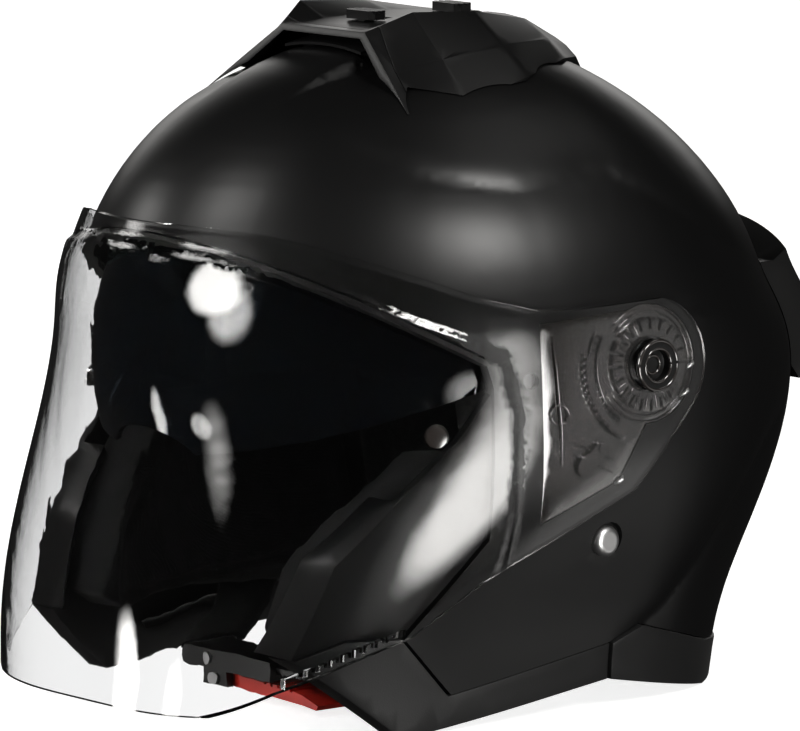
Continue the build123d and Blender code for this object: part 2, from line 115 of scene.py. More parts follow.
def add_node(tree, kind, operation=None, **values):
    """A new node; values sets its attributes, or else its inputs by name, underscores for spaces."""
    node = tree.nodes.new(kind)
    if operation:
        node.operation = operation
    for key, value in values.items():
        if hasattr(node, key):
            setattr(node, key, value)
        else:
            node.inputs[key.replace("_", " ")].default_value = value
    return node


def softbox(tree, place, azimuth, elevation, wide, high, bright):
    """Nodes of one soft edged, far away light; returns the socket of its brightness."""
    a, e = math.radians(azimuth), math.radians(elevation)
    centre = Vector((math.sin(a) * math.cos(e), -math.cos(a) * math.cos(e), math.sin(e)))
    across = Vector((math.cos(a), math.sin(a), 0))
    above = centre.cross(across)
    dots = []
    for axis in (across / math.sin(math.radians(wide)), above / math.sin(math.radians(high)), centre):
        dot = add_node(tree, "ShaderNodeVectorMath", "DOT_PRODUCT")
        dot.inputs[1].default_value = axis
        tree.links.new(place.outputs["Generated"], dot.inputs[0])
        dots.append(dot.outputs["Value"])
    both = add_node(tree, "ShaderNodeCombineXYZ")
    tree.links.new(dots[0], both.inputs["X"])
    tree.links.new(dots[1], both.inputs["Y"])
    away = add_node(tree, "ShaderNodeVectorMath", "LENGTH")
    tree.links.new(both.outputs["Vector"], away.inputs[0])
    # bright up to 0.55 of its half size, dark from 1.15
    edge = add_node(tree, "ShaderNodeMapRange", interpolation_type="SMOOTHSTEP", From_Min=1.15, From_Max=0.55,
                    To_Min=0.0, To_Max=bright)
    tree.links.new(away.outputs["Value"], edge.inputs["Value"])
    front = add_node(tree, "ShaderNodeMath", "GREATER_THAN")
    front.inputs[1].default_value = 0.0
    tree.links.new(dots[2], front.inputs[0])
    lit = add_node(tree, "ShaderNodeMath", "MULTIPLY")
    tree.links.new(edge.outputs["Result"], lit.inputs[0])
    tree.links.new(front.outputs["Value"], lit.inputs[1])
    return lit.outputs["Value"]


def panel(centre, facing, wide, high, bright):
    """A near rectangular light whose glow fades towards its edges; it isn't seen directly."""
    data = bpy.data.lights.new("panel", "AREA")
    data.shape = "RECTANGLE"
    data.size = wide
    data.size_y = high
    data.energy = bright * math.pi * wide * high
    data.color = LIGHT_COLOUR
    data.use_nodes = True
    tree = data.node_tree
    place = add_node(tree, "ShaderNodeNewGeometry")
    middle = add_node(tree, "ShaderNodeVectorMath", "SUBTRACT")
    middle.inputs[1].default_value = (0.5, 0.5, 0)
    away = add_node(tree, "ShaderNodeVectorMath", "LENGTH")
    # bright up to 0.24 of its size from the middle, dark at 0.5
    edge = add_node(tree, "ShaderNodeMapRange", interpolation_type="SMOOTHSTEP", From_Min=0.5, From_Max=0.24)
    tree.links.new(place.outputs["Parametric"], middle.inputs[0])
    tree.links.new(middle.outputs["Vector"], away.inputs[0])
    tree.links.new(away.outputs["Value"], edge.inputs["Value"])
    tree.links.new(edge.outputs["Result"], tree.nodes["Emission"].inputs["Strength"])
    lamp = bpy.data.objects.new("panel", data)
    bpy.context.scene.collection.objects.link(lamp)
    lamp.location = centre
    lamp.rotation_euler = (Vector(facing) - Vector(centre)).to_track_quat("-Z", "Y").to_euler()
    lamp.visible_camera = False


def build_world():
    """The far lights, and a pale backdrop that is seen directly or straight through the clear shield."""
    world = bpy.data.worlds.new("studio")
    bpy.context.scene.world = world
    world.use_nodes = True
    tree = world.node_tree
    tree.nodes.clear()
    place = add_node(tree, "ShaderNodeTexCoord")
    total = add_node(tree, "ShaderNodeValue").outputs["Value"]
    total.default_value = FILL
    for light in SOFTBOXES:
        joined = add_node(tree, "ShaderNodeMath", "ADD")
        tree.links.new(total, joined.inputs[0])
        tree.links.new(softbox(tree, place, *light), joined.inputs[1])
        total = joined.outputs["Value"]
    lights = add_node(tree, "ShaderNodeBackground", Color=(*LIGHT_COLOUR, 1))
    tree.links.new(total, lights.inputs["Strength"])
    backdrop = add_node(tree, "ShaderNodeBackground", Color=(1, 1, 1, 1), Strength=1.0)
    # camera rays, and rays sent on by the shield that haven't been mirrored or scattered, see the backdrop
    path = add_node(tree, "ShaderNodeLightPath")
    seen = add_node(tree, "ShaderNodeMath", "MAXIMUM")
    tree.links.new(path.outputs["Is Camera Ray"], seen.inputs[0])
    tree.links.new(path.outputs["Is Transmission Ray"], seen.inputs[1])
    for depth in ("Glossy Depth", "Diffuse Depth"):
        first = add_node(tree, "ShaderNodeMath", "LESS_THAN")
        first.inputs[1].default_value = 0.5
        tree.links.new(path.outputs[depth], first.inputs[0])
        both = add_node(tree, "ShaderNodeMath", "MULTIPLY")
        tree.links.new(seen.outputs["Value"], both.inputs[0])
        tree.links.new(first.outputs["Value"], both.inputs[1])
        seen = both
    mix = add_node(tree, "ShaderNodeMixShader")
    out = add_node(tree, "ShaderNodeOutputWorld")
    tree.links.new(seen.outputs["Value"], mix.inputs["Fac"])
    tree.links.new(lights.outputs[0], mix.inputs[1])
    tree.links.new(backdrop.outputs[0], mix.inputs[2])
    tree.links.new(mix.outputs[0], out.inputs["Surface"])


def build_floor():
    """A pale floor, half a millimetre below the helmet, which mirrors the lights and not the floor."""
    bpy.ops.mesh.primitive_plane_add(size=12, location=(0, 0, -0.0005))
    floor = bpy.context.object
    floor.name = "floor"
    pale = bpy.data.materials.new("floor")
    pale.use_nodes = True
    shader = pale.node_tree.nodes["Principled BSDF"]
    shader.inputs["Base Color"].default_value = (0.9, 0.9, 0.9, 1)
    shader.inputs["Roughness"].default_value = 0.9
    shader.inputs["Emission Color"].default_value = (1, 1, 1, 1)
    shader.inputs["Emission Strength"].default_value = 0.82
    floor.data.materials.append(pale)
    floor.visible_glossy = False
    floor.visible_diffuse = False
    floor.visible_transmission = False
    floor.visible_shadow = False


def build_studio():
    bpy.context.scene.view_settings.view_transform = "Standard"
    build_world()
    for light in PANELS:
        panel(*light)
    build_floor()


build_studio()


# ---- materials ----------------------------------------------------------------------------
def material(name, colour, roughness, metallic=0.0, **sockets):
    """A Principled material; sockets sets further inputs by name, underscores for spaces."""
    made = bpy.data.materials.new(name)
    made.use_nodes = True
    shader = made.node_tree.nodes["Principled BSDF"]
    shader.inputs["Base Color"].default_value = (*colour, 1)
    shader.inputs["Roughness"].default_value = roughness
    shader.inputs["Metallic"].default_value = metallic
    for socket, value in sockets.items():
        shader.inputs[socket.replace("_", " ")].default_value = value
    return made


def add(made, kind, **values):
    return add_node(made.node_tree, kind, **values)


def link(made, a, output, b, socket):
    made.node_tree.links.new(a.outputs[output], b.inputs[socket])


def link_shader(made, a, output, socket):
    """Links a node to an input of the material's Principled shader."""
    link(made, a, output, made.node_tree.nodes["Principled BSDF"], socket)


def textured(made, texture, **values):
    """A texture node in object space."""
    place = add(made, "ShaderNodeTexCoord")
    pattern = add(made, texture, **values)
    link(made, place, "Object", pattern, "Vector")
    return pattern


def mottle(made, scale, low, high):
    """Uneven base colour between two shades."""
    noise = textured(made, "ShaderNodeTexNoise", Scale=scale, Detail=4.0)
    ramp = add(made, "ShaderNodeValToRGB")
    ramp.color_ramp.elements[0].color = (*low, 1)
    ramp.color_ramp.elements[1].color = (*high, 1)
    ramp.color_ramp.elements[0].position = 0.3
    ramp.color_ramp.elements[1].position = 0.7
    link(made, noise, "Fac", ramp, "Fac")
    link_shader(made, ramp, "Color", "Base Color")


def smudge(made, scale, low, high):
    """Uneven roughness between two values."""
    noise = textured(made, "ShaderNodeTexNoise", Scale=scale, Detail=5.0)
    spread = add(made, "ShaderNodeMapRange", To_Min=low, To_Max=high)
    link(made, noise, "Fac", spread, "Value")
    link_shader(made, spread, "Result", "Roughness")


def grain(made, scale, height, texture="ShaderNodeTexNoise", output="Fac", **values):
    """Bump from a texture in object space; height in metres."""
    pattern = textured(made, texture, Scale=scale, **values)
    bump = add(made, "ShaderNodeBump", Strength=1.0, Distance=height)
    link(made, pattern, output, bump, "Height")
    link_shader(made, bump, "Normal", "Normal")


def weave(made, scale, height):
    """Two crossed wave bumps: a knitted or woven surface; height in metres."""
    both = add(made, "ShaderNodeMath", operation="MULTIPLY")
    for socket, direction in enumerate(("X", "Z")):
        wave = textured(made, "ShaderNodeTexWave", Scale=scale, Distortion=0.6, bands_direction=direction)
        link(made, wave, "Fac", both, socket)
    bump = add(made, "ShaderNodeBump", Strength=1.0, Distance=height)
    link(made, both, "Value", bump, "Height")
    link_shader(made, bump, "Normal", "Normal")


def shell_paint():
    made = material("shell_paint", (0.0045, 0.0045, 0.0047), 0.33)
    mottle(made, 9, (0.004, 0.004, 0.0042), (0.0055, 0.0055, 0.0056))
    smudge(made, 14, 0.31, 0.36)
    grain(made, 1400, 0.00001, Detail=2.0)
    return made


def vent_plastic():
    made = material("vent_plastic", (0.005, 0.005, 0.0052), 0.36)
    mottle(made, 30, (0.0045, 0.0045, 0.0047), (0.0065, 0.0065, 0.0066))
    grain(made, 1500, 0.00002, Detail=3.0)
    return made


def black_plastic():
    made = material("black_plastic", (0.006, 0.006, 0.0062), 0.34)
    mottle(made, 60, (0.005, 0.005, 0.0052), (0.0085, 0.0085, 0.0088))
    grain(made, 2200, 0.00003, Detail=3.0)
    return made


def trim_rubber():
    made = material("trim_rubber", (0.0055, 0.0055, 0.0057), 0.48, Sheen_Weight=0.05)
    mottle(made, 40, (0.0045, 0.0045, 0.0047), (0.0075, 0.0075, 0.0077))
    grain(made, 1800, 0.00004, Detail=4.0)
    return made


def pivot_plastic():
    made = material("pivot_plastic", (0.026, 0.0215, 0.0195), 0.2, Coat_Weight=1.0, Coat_Roughness=0.06,
                    Coat_IOR=2.1, Specular_IOR_Level=0.9)
    mottle(made, 70, (0.019, 0.0155, 0.014), (0.034, 0.028, 0.0255))
    grain(made, 700, 0.00003, Detail=3.0)
    return made


def clear_shield():
    made = material("clear_shield", (0.998, 0.999, 1.0), 0.02, Transmission_Weight=1.0, IOR=1.5)
    smudge(made, 40, 0.012, 0.03)
    return made


def smoke_visor():
    made = material("smoke_visor", (0.035, 0.045, 0.055), 0.02, Transmission_Weight=0.9, IOR=1.5)
    smudge(made, 30, 0.012, 0.035)
    return made


def liner_fabric():
    made = material("liner_fabric", (0.009, 0.009, 0.0095), 0.9, Sheen_Weight=0.05, Sheen_Roughness=0.5,
                    Specular_IOR_Level=0.25)
    mottle(made, 120, (0.007, 0.007, 0.0075), (0.013, 0.013, 0.0137))
    weave(made, 900, 0.00012)
    return made


def liner_foam():
    made = material("liner_foam", (0.02, 0.02, 0.021), 0.7)
    mottle(made, 300, (0.014, 0.014, 0.015), (0.03, 0.03, 0.031))
    grain(made, 330, 0.0003, "ShaderNodeTexVoronoi", "Distance")
    return made


def webbing():
    made = material("webbing", (0.012, 0.012, 0.013), 0.7, Sheen_Weight=0.3)
    mottle(made, 200, (0.009, 0.009, 0.0095), (0.019, 0.019, 0.02))
    weave(made, 700, 0.00015)
    return made


def chrome_metal():
    made = material("chrome_metal", (0.92, 0.92, 0.92), 0.36, metallic=1.0)
    smudge(made, 400, 0.32, 0.42)
    return made


def steel():
    made = material("steel", (0.55, 0.55, 0.56), 0.32, metallic=1.0)
    smudge(made, 500, 0.24, 0.4)
    grain(made, 3000, 0.00001, Detail=3.0)
    return made


def red_plastic():
    made = material("red_plastic", (0.88, 0.045, 0.025), 0.3, Coat_Weight=0.3)
    mottle(made, 90, (0.7, 0.028, 0.016), (0.8, 0.045, 0.025))
    smudge(made, 250, 0.24, 0.42)
    grain(made, 1800, 0.00002, Detail=3.0)
    return made


MATERIALS = {make.__name__: make() for make in (
    shell_paint, vent_plastic, black_plastic, trim_rubber, pivot_plastic, clear_shield,
    smoke_visor, liner_fabric, liner_foam, webbing, chrome_metal, steel, red_plastic)}


def dress_cad_nodes():
    """Every CAD node takes the material of its slot."""
    for part in frame["record"]["subparts"]:
        mesh = frame["nodes"][part["node"]].data
        mesh.materials.clear()
        mesh.materials.append(MATERIALS[part["material_slot"]])


dress_cad_nodes()


# ---- mesh tools ---------------------------------------------------------------------------
def new_piece(name, bm, body, slot):
    """A mesh object from a bmesh, riding on a body with its slot's material."""
    mesh = bpy.data.meshes.new(name)
    bm.to_mesh(mesh)
    bm.free()
    mesh.materials.append(MATERIALS[slot])
    piece = bpy.data.objects.new(name, mesh)
    bpy.context.scene.collection.objects.link(piece)
    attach(piece, body)
    return piece


def closed_piece(name, bm, slot):
    """A piece on the helmet's body from closed parts with rounded sides."""
    bmesh.ops.recalc_face_normals(bm, faces=bm.faces)
    crisp(bm, 50)
    return new_piece(name, bm, "helmet", slot)


def crisp(bm, degrees=32):
    """Smooth faces, with edges left sharp where they turn by more than some degrees."""
    limit = math.radians(degrees)
    for face in bm.faces:
        face.smooth = True
    for edge in bm.edges:
        edge.smooth = len(edge.link_faces) == 2 and edge.calc_face_angle(0) < limit


def welded(node):
    """A CAD node's mesh as a bmesh, with the vertices that its normals split joined again."""
    bm = bmesh.new()
    bm.from_mesh(frame["nodes"][node].data)
    bmesh.ops.remove_doubles(bm, verts=bm.verts, dist=2e-6)
    bmesh.ops.dissolve_degenerate(bm, edges=bm.edges, dist=1e-6)
    return bm


def refine(bm, longest):
    """Splits edges until none is longer than a limit, in metres."""
    for _ in range(7):
        long_edges = [edge for edge in bm.edges if edge.calc_length() > longest]
        if not long_edges:
            break
        bmesh.ops.subdivide_edges(bm, edges=long_edges, cuts=1)
        bmesh.ops.triangulate(bm, faces=[face for face in bm.faces if len(face.verts) > 3])
    bmesh.ops.beautify_fill(bm, faces=bm.faces, edges=[e for e in bm.edges if e.calc_face_angle(1) < 0.2])


def smooth(bm, verts, times):
    for _ in range(times):
        bmesh.ops.smooth_vert(bm, verts=verts, factor=0.5, use_axis_x=True, use_axis_y=True, use_axis_z=True)


def relax(bm, times):
    """Evens out small facets and leaves sharp and open edges where they are."""
    limit = math.radians(32)
    fixed = {vert for edge in bm.edges if edge.calc_face_angle(4) > limit for vert in edge.verts}
    smooth(bm, [vert for vert in bm.verts if vert not in fixed], times)


DOME_MIDDLE = at(0, 8, HINGE_Z)


def outward(point):
    """Away from the dome's middle, level below the hinge."""
    away = point - DOME_MIDDLE
    if away.z < 0:
        away.z = 0
    return away.normalized()


def ramp(value, low, high):
    """A smooth step from 0 at low to 1 at high."""
    t = min(1.0, max(0.0, (value - low) / (high - low)))
    return t * t * (3 - 2 * t)


def side_of(point, line):
    """Signed distance, in a plane, from a polyline: positive on its left."""
    best, sign = 1e9, 1
    for (ax, ay), (bx, by) in zip(line, line[1:]):
        dx, dy = bx - ax, by - ay
        run = dx * dx + dy * dy
        t = min(1, max(0, ((point[0] - ax) * dx + (point[1] - ay) * dy) / run))
        px, py = point[0] - ax - t * dx, point[1] - ay - t * dy
        d = math.hypot(px, py)
        if d < best:
            best, sign = d, 1 if dx * py - dy * px > 0 else -1
    return best * sign


def displace(bm, depth):
    """Moves each vertex outwards by depth(x, y, z), all in millimetres."""
    moves = [(vert, depth(*mm(vert.co))) for vert in bm.verts]
    for vert, rise in moves:
        if rise:
            vert.co += outward(vert.co) * rise / 1000


# ---- shell --------------------------------------------------------------------------------
# (y, z) side views of the creases on each flank of the shell
SHOULDER = [(-100, 224), (-77, 206), (-62, 202), (-41, 199), (-12, 203), (0, 202), (16, 194), (39, 181),
            (70, 166)]
HAUNCH = [(7, 25), (24, 35), (41, 53), (60, 74), (80, 95), (112, 120)]
SHOULDER_CREASE = (1.6, 20)    # mm, the depth and the run of its fade
HAUNCH_CREASE = (2.2, 13)
CREASE_TOP_RUN = 4.5      # mm, how quickly a crease fades out above its line
SCOOP_DEPTH = 4.5         # mm, the scoops ahead of the vent
SHELL_EDGE = 0.0042       # metres, the longest edge of its mesh


def pressed(distance, depth, run):
    """A crease: deepest at its line, fading out over some run below it, and steeply above it."""
    return -depth * math.exp(distance / run if distance < 0 else -distance / CREASE_TOP_RUN)


def shell_relief(x, y, z):
    """Soft pressed creases, and the two scoops that lead into the vent's mouth."""
    rise = 0.0
    if z > 150 and y < 85 and abs(x) > 40:
        fade = ramp(abs(x), 44, 70) * (1 - ramp(y, 45, 75))
        rise += fade * pressed(side_of((y, z), SHOULDER), *SHOULDER_CREASE)
    if z < 135 and y > -10:
        rise += (1 - ramp(y, 70, 105)) * pressed(side_of((y, z), HAUNCH), *HAUNCH_CREASE)
    if y < -20 and z > 205:
        across = ramp(abs(x), 21, 24.5) * (1 - ramp(abs(x), 30, 58))
        rise -= SCOOP_DEPTH * ramp(y, -101, -58) * across
    return rise


def build_shell():
    bm = welded("outer_shell")
    refine(bm, SHELL_EDGE)
    relax(bm, 3)
    displace(bm, shell_relief)
    crisp(bm)
    shell = new_piece("shell", bm, "helmet", "shell_paint")
    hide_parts("outer_shell")


# ---- face shield --------------------------------------------------------------------------
# (y, z) side view of the bevel between the shield's flat rim and its raised window
WINDOW = [(-64, 56), (-60, 80), (-58, 120), (-62, 139), (-74, 147), (-89, 153), (-122, 170), (-157, 181.5),
          (-175, 182)]
WINDOW_RISE = 1.9         # mm, how far the window stands proud of the rim
WINDOW_BEVEL = 1.6        # mm, half the bevel's width
SHIELD_EDGE = 0.0032      # metres, the longest edge of its mesh


def shield_relief(_x, y, z):
    return WINDOW_RISE * ramp(side_of((y, z), WINDOW), -WINDOW_BEVEL, WINDOW_BEVEL)


def build_shield():
    bm = welded("face_shield")
    refine(bm, SHIELD_EDGE)
    relax(bm, 8)
    displace(bm, shield_relief)
    crisp(bm)
    shield = new_piece("shield_window", bm, "shield", "clear_shield")
    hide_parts("face_shield")


# ---- bevelled covers ----------------------------------------------------------------------
# millimetres that the edges are rounded over by; names without a side stand for a left and a right node
ROUNDED = {"jaw_cover": 0.9, "jaw_trim": 0.9, "neck_trim": 0.9, "vent_cover": 0.8, "vent_frame": 0.8,
           "spoiler": 0.8, "ratchet_ring": 0.15, "pivot_pin": 0.7, "pivot_base": 0.25, "insert_pin": 0.8}
RING_SEAT = 0.9982        # the detent rings sit 0.2 mm further in than in the CAD, clear of the raised shield


def soften(node, width, body="helmet"):
    """A CAD cover with its sharp edges rounded over."""
    bm = welded(node)
    bmesh.ops.dissolve_limit(bm, angle_limit=math.radians(0.6), verts=bm.verts, edges=bm.edges)
    edges = [edge for edge in bm.edges if edge.calc_face_angle(0) > math.radians(30)]
    bmesh.ops.bevel(bm, geom=edges, offset=width / 1000, segments=2, profile=0.6, affect="EDGES",
                    clamp_overlap=True)
    bmesh.ops.triangulate(bm, faces=[face for face in bm.faces if len(face.verts) > 4])
    crisp(bm, 40)
    slot = next(part["material_slot"] for part in frame["record"]["subparts"] if part["node"] == node)
    piece = new_piece(node + "_soft", bm, body, slot)
    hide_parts(node)
    return piece


def build_covers():
    for part in ("jaw_cover", "jaw_trim"):
        for side in ("left", "right"):
            soften(f"{part}_{side}", ROUNDED[part])
    for node in ("neck_trim", "vent_cover", "vent_frame", "spoiler"):
        soften(node, ROUNDED[node])
    for side in ("left", "right"):
        ring = soften(f"ratchet_ring_{side}", ROUNDED["ratchet_ring"])
        for vert in ring.data.vertices:
            vert.co.x *= RING_SEAT
        for part in ("pivot_pin", "pivot_base"):
            soften(f"{part}_{side}", ROUNDED[part])
        soften(f"insert_pin_{side}", ROUNDED["insert_pin"], "shield")


# ---- pads ---------------------------------------------------------------------------------
CLOTH_PRESSURE = 4.0
CLOTH_FRAMES = 20


def inflate(piece, cap):
    """Cloth under pressure; no point moves further than cap, in metres."""
    start = [vert.co.copy() for vert in piece.data.vertices]
    cloth = piece.modifiers.new("puff", "CLOTH")
    cloth.settings.use_pressure = True
    cloth.settings.uniform_pressure_force = CLOTH_PRESSURE
    cloth.settings.effector_weights.gravity = 0
    cloth.point_cache.frame_start = 1
    cloth.point_cache.frame_end = CLOTH_FRAMES
    scene = bpy.context.scene
    for number in range(1, CLOTH_FRAMES + 1):
        scene.frame_set(number)
    puffed = piece.evaluated_get(bpy.context.evaluated_depsgraph_get()).to_mesh()
    ends = [vert.co.copy() for vert in puffed.vertices]
    piece.evaluated_get(bpy.context.evaluated_depsgraph_get()).to_mesh_clear()
    piece.modifiers.remove(cloth)
    scene.frame_set(1)
    for vert, a, b in zip(piece.data.vertices, start, ends):
        move = b - a
        if move.length > cap:
            move = move.normalized() * cap
        vert.co = a + move


def pad(node, name, voxel, shrink, cap, relief=None):
    """A padded piece in the room of its CAD solid: remeshed, drawn in by shrink, puffed up by at most cap
    and then sewn. Lengths are in metres, and relief gives the depth of the sewing in millimetres."""
    bm = welded(node)
    piece = new_piece(name, bm, "helmet", "liner_fabric")
    piece.data.remesh_voxel_size = voxel
    bpy.context.view_layer.objects.active = piece
    piece.select_set(True)
    bpy.ops.object.voxel_remesh()
    piece.select_set(False)
    normals = [vert.normal.copy() for vert in piece.data.vertices]
    for vert, normal in zip(piece.data.vertices, normals):
        vert.co -= normal * shrink
    inflate(piece, cap)
    bm = bmesh.new()
    bm.from_mesh(piece.data)
    smooth(bm, bm.verts, 3)
    bmesh.ops.subdivide_edges(bm, edges=bm.edges, cuts=1, use_grid_fill=True, smooth=0.6)
    if relief:
        bm.normal_update()
        moves = [(vert, relief(*mm(vert.co))) for vert in bm.verts]
        for vert, depth in moves:
            vert.co -= vert.normal * depth / 1000
    for face in bm.faces:
        face.smooth = True
    bm.to_mesh(piece.data)
    bm.free()
    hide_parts(node)


def channel(distance, width, depth):
    """Depth of a sewn channel at some distance from its line."""
    return depth * math.exp(-(distance / width) ** 2)


# (y, z) side views of the seams
CHEEK_SEAM = [(-60, 98), (-78, 92), (-95, 74), (-110, 52), (-114, 36), (-100, 34), (-20, 38), (16, 40)]
CROWN_SEAM = [(-150, 176), (120, 130)]
CROWN_CHANNELS = (26, 58)       # mm from the middle, two fore and aft channels on each side
CHEEK_SEWING = (1.3, 1.5)       # mm, a channel's width and depth
CROWN_SEWING = (1.6, 2.0)


def cheek_relief(_x, y, z):
    return channel(side_of((y, z), CHEEK_SEAM), *CHEEK_SEWING)


def crown_relief(x, y, z):
    across = min(abs(abs(x) - place) for place in CROWN_CHANNELS)
    return channel(across, *CROWN_SEWING) + channel(side_of((y, z), CROWN_SEAM), *CROWN_SEWING)


def build_pads():
    for side in ("left", "right"):
        pad(f"cheek_pad_{side}", f"cheek_cushion_{side}", voxel=0.0045, shrink=0.0022, cap=0.004,
            relief=cheek_relief)
    pad("neck_roll", "neck_cushion", voxel=0.0045, shrink=0.002, cap=0.004)
    pad("crown_liner", "crown_cushion", voxel=0.0035, shrink=0.0008, cap=0.0015, relief=crown_relief)


# ---- straps -------------------------------------------------------------------------------
# the middle line of each strap from its rivet to the buckle, in millimetres, and the share of it that its
# sleeve covers
STRAPS = {
    "left": ([(109, -12.6, 80), (105.8, -13, 58), (99.6, -16, 38), (84, -30, 22), (66, -62, 16.6),
              (49, -88, 16.4)], (0.46, 0.745)),
    "right": ([(-109, -12.6, 80), (-105.8, -13, 58), (-99.6, -16, 38), (-84, -30, 21), (-58, -64, 12),
               (-32.3, -88, 13)], (0.52, 0.84)),
}
WEBBING_WIDTH, WEBBING_THICKNESS = 22, 1.7      # mm
SLEEVE_WIDTH, SLEEVE_THICKNESS = 30, 8.5
STITCH_ROWS = (-8.6, 8.6)                       # mm across the webbing's width
STITCH_SPACING, STITCH_LIFT = 3.6, 1.0
STITCH_SIZE = (0.0013, 0.0004, 0.00035)         # metres, half its length, width and height
STRIP_REACH = 74                                # mm, just past the end of the ratchet strip's travel


def curve_through(points, steps):
    """Points on a smooth line through given points, in millimetres."""
    line = []
    for k in range(len(points) - 1):
        a, b = Vector(points[max(k - 1, 0)]), Vector(points[k])
        c, d = Vector(points[k + 1]), Vector(points[min(k + 2, len(points) - 1)])
        for n in range(steps):
            t = n / steps
            line.append(0.5 * (2 * b + (c - a) * t + (2 * a - 5 * b + 4 * c - d) * t**2
                               + (3 * b - a - 3 * c + d) * t**3))
    line.append(Vector(points[-1]))
    return line


def band_frames(line):
    """Along a band: its point and the direction of its thickness. Its width runs along Y."""
    frames = []
    for k, point in enumerate(line):
        run = line[min(k + 1, len(line) - 1)] - line[max(k - 1, 0)]
        frames.append((point, Vector((-run.z, 0, run.x)).normalized()))
    return frames


def band(name, line, width, thickness, slot, swell=lambda t: 1.0, squareness=5.0):
    """A flat or padded band along a line. Swell varies its thickness from end to end, and squareness, from 2,
    an ellipse, is the form of its section."""
    around = 28
    bm = bmesh.new()
    rings = []
    frames = band_frames(line)
    for k, (point, normal) in enumerate(frames):
        thick = thickness * swell(k / (len(frames) - 1))
        ring = []
        for n in range(around):
            a = 2 * math.pi * n / around
            w = math.copysign(abs(math.cos(a)) ** (2 / squareness), math.cos(a)) * width / 2
            h = math.copysign(abs(math.sin(a)) ** (2 / squareness), math.sin(a)) * thick / 2
            ring.append(bm.verts.new(at(*(point + Vector((0, w, 0)) + normal * h))))
        rings.append(ring)
    for a, b in zip(rings, rings[1:]):
        for n in range(around):
            bm.faces.new((a[n], a[(n + 1) % around], b[(n + 1) % around], b[n]))
    bm.faces.new(reversed(rings[0]))
    bm.faces.new(rings[-1])
    return closed_piece(name, bm, slot)


def stitches(name, line):
    """Rows of sewn thread on both faces of the webbing."""
    bm = bmesh.new()
    frames = band_frames(line)
    walked = 0.0
    for (a, normal), (b, _) in zip(frames, frames[1:]):
        run = b - a
        walked += run.length
        if walked < STITCH_SPACING:
            continue
        walked = 0.0
        for across in STITCH_ROWS:
            for face in (1, -1):
                middle = a + Vector((0, across, 0)) + normal * face * STITCH_LIFT
                if 0 < middle.x < STRIP_REACH and middle.z < a.z:
                    continue    # the ratchet strip slides along this side
                turn = run.to_track_quat("X", "Z").to_matrix().to_4x4()
                place = Matrix.Translation(at(*middle)) @ turn
                size = Matrix.Diagonal((*STITCH_SIZE, 1))
                bmesh.ops.create_icosphere(bm, subdivisions=1, radius=1.0, matrix=place @ size)
    for face in bm.faces:
        face.smooth = True
    new_piece(name, bm, "helmet", "webbing")


def sleeve_swell(t):
    """Full at the sleeve's middle and about half as thick at its ends."""
    return 0.55 + 0.45 * math.sin(math.pi * t) ** 0.5


def build_straps():
    for side, (route, covered) in STRAPS.items():
        line = curve_through(route, 14)
        strap = band(f"strap_webbing_{side}", line, WEBBING_WIDTH, WEBBING_THICKNESS, "webbing")
        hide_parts(f"chin_strap_{side}")
        stitches(f"strap_stitching_{side}", curve_through(route, 60))
        first, last = (int(len(line) * share) for share in covered)
        sleeve = band(f"strap_sleeve_{side}", line[first:last], SLEEVE_WIDTH, SLEEVE_THICKNESS,
                      "liner_fabric", sleeve_swell, squareness=2.6)


# ---- pivot details ------------------------------------------------------------------------
def flank(tree, side, y, z):
    """Where a side view point lies on a surface, on the left (1) or right (-1), and its normal."""
    spot, normal, _, _ = tree.ray_cast(at(side * 200, y, z), Vector((-side, 0, 0)))
    return spot, normal


def seated(spot, normal, spin):
    """A place on a surface whose Z axis is the surface's normal, turned by spin about it."""
    turn = normal.to_track_quat("Z", "Y").to_matrix().to_4x4()
    return Matrix.Translation(spot) @ turn @ Matrix.Rotation(spin, 4, "Z")


def add_tube(bm, points, radius, closed=False):
    """A round bar through points in metres, drawn in at its ends unless it is closed."""
    parts = 10
    rings = []
    last = len(points) - 1
    for k, point in enumerate(points):
        before = points[(k - 1) % len(points) if closed else max(k - 1, 0)]
        after = points[(k + 1) % len(points) if closed else min(k + 1, last)]
        turn = (after - before).to_track_quat("Z", "Y").to_matrix()
        end = 0.55 if not closed and k in (0, last) else 1.0
        rings.append([bm.verts.new(point + turn @ Vector((math.cos(a), math.sin(a), 0)) * radius * end)
                      for a in (2 * math.pi * n / parts for n in range(parts))])
    pairs = list(zip(rings, rings[1:])) + ([(rings[-1], rings[0])] if closed else [])
    for a, b in pairs:
        for n in range(parts):
            bm.faces.new((a[n], a[(n + 1) % parts], b[(n + 1) % parts], b[n]))
    if not closed:
        bm.faces.new(reversed(rings[0]))
        bm.faces.new(rings[-1])


def moulded(bm, tree, side, points, rise, radius, closed=False):
    """A bar that follows a surface through (y, z) side view points, its middle rise millimetres above it."""
    line = []
    for y, z in points:
        spot, normal = flank(tree, side, y, z)
        if spot is None:
            return
        line.append(spot + normal * rise / 1000)
    add_tube(bm, line, radius / 1000, closed)


def about_hinge(radius, start, stop, count):
    """(y, z) points on an arc about the shield's hinge; degrees from straight back, upwards."""
    turns = [math.radians(start + (stop - start) * k / (count - 1)) for k in range(count)]
    return [(radius * math.cos(a), HINGE_Z + radius * math.sin(a)) for a in turns]


# millimetres about the hinge line on each pivot base
HUB_RINGS = (19.4, 21.6)
FIN_REACH = (11.6, 14, 16.6)
FINS = 20
FIN_RISE, FIN_RISE_LOW = 1.9, 0.2       # low where the raised shield's ear passes over them
RACK_RAILS = (23.4, 26.6)
RACK_REACH = (24.2, 25.6)
RACK_TEETH = 15
CAP_RINGS = ((9.2, 128.0, 0.75), (6.3, 128.0, 0.6), (3.4, 125.0, 0.5))      # radius, side place, thickness
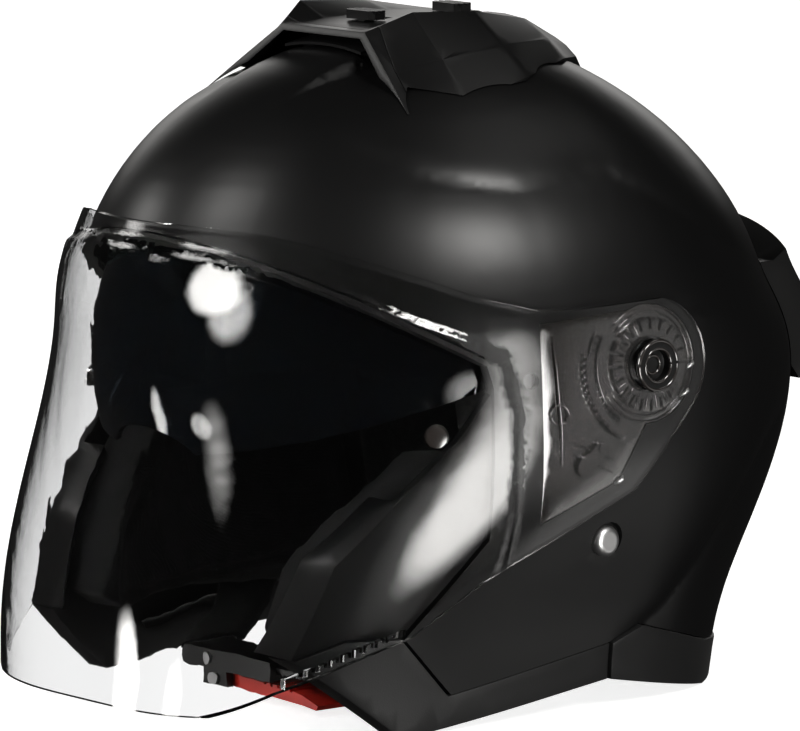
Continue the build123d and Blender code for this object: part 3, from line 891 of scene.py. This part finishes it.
# (y, z) side views
CATCH_LEG = [(-41, 144), (-40, 134), (-39.4, 124), (-38.6, 112), (-38.2, 98)]
CATCH_BOSS, BOSS_RADIUS = (-39.4, 117), 3.6
WING_RIB = [(-33, 106), (-24, 102), (-15, 98)]
WING_RIB_DROPS = (0, 4.5, 9)
CLIPS = [(20, 131), (17.5, 121), (12, 113.5), (2, 106), (-6, 97), (-12, 90.5)]     # along the rear rim
CLIP_PROFILE = ((-0.0022, 0.0003), (-0.001, 0.0012), (0.0008, 0.0015), (0.0022, 0.0004))   # metres
CLIP_RADIUS = 0.0008


def radial(reach, turn):
    """(y, z) points straight out from the hinge line, at one angle in degrees."""
    return [about_hinge(radius, turn, turn + 1, 2)[0] for radius in reach]


def build_mouldings(tree, side, name):
    """Hub rings, fins, the detent rack, the catch's leg and the wing's ribs on a pivot base."""
    bm = bmesh.new()
    for radius in HUB_RINGS:
        moulded(bm, tree, side, about_hinge(radius, -150, 140, 60), 0.3, 0.42)
    for k in range(FINS):
        turn = 360 // FINS * k + 9
        rise = FIN_RISE_LOW if turn < 105 or turn > 315 else FIN_RISE
        moulded(bm, tree, side, radial(FIN_REACH, turn), rise, 0.62)
    for k in range(RACK_TEETH):
        moulded(bm, tree, side, radial(RACK_REACH, 152 + 6 * k), 0.8, 0.75)
    for radius in RACK_RAILS:
        moulded(bm, tree, side, about_hinge(radius, 150, 238, 30), 0.7, 0.5)
    # the catch's slender leg with its round boss
    moulded(bm, tree, side, CATCH_LEG, 0.5, 0.8)
    y, z = CATCH_BOSS
    boss = [(y + BOSS_RADIUS * math.cos(math.pi * k / 12), z + BOSS_RADIUS * math.sin(math.pi * k / 12))
            for k in range(24)]
    moulded(bm, tree, side, boss, 0.9, 0.6, closed=True)
    # ribs towards the wing's lower corner
    for drop in WING_RIB_DROPS:
        moulded(bm, tree, side, [(y, z - drop) for y, z in WING_RIB], 0.3, 0.5)
    closed_piece(f"pivot_mouldings_{name}", bm, "pivot_plastic")


def build_cap_rings(side, name):
    """Raised rings on the head of a pivot."""
    bm = bmesh.new()
    for radius, x, thick in CAP_RINGS:
        circle = [at(side * x, *spot) for spot in about_hinge(radius, 0, 352.5, 48)]
        add_tube(bm, circle, thick / 1000, closed=True)
    closed_piece(f"hub_rings_{name}", bm, "pivot_plastic")


def build_clips(tree, side, name):
    """Small bright clips along the rear rim of a pivot base."""
    bm = bmesh.new()
    for y, z in CLIPS:
        spot, normal = flank(tree, side, y, z)
        if spot:
            place = seated(spot - normal * 0.0002, normal, 0.6)
            add_tube(bm, [place @ Vector((along, 0, rise)) for along, rise in CLIP_PROFILE], CLIP_RADIUS)
    closed_piece(f"pivot_clips_{name}", bm, "chrome_metal")


def build_pivot_details():
    for side, name in ((1, "left"), (-1, "right")):
        tree = BVHTree.FromBMesh(welded(f"pivot_base_{name}"))
        build_mouldings(tree, side, name)
        build_cap_rings(side, name)
        build_clips(tree, side, name)


build_shell()
build_shield()
build_covers()
build_pads()
build_straps()
build_pivot_details()
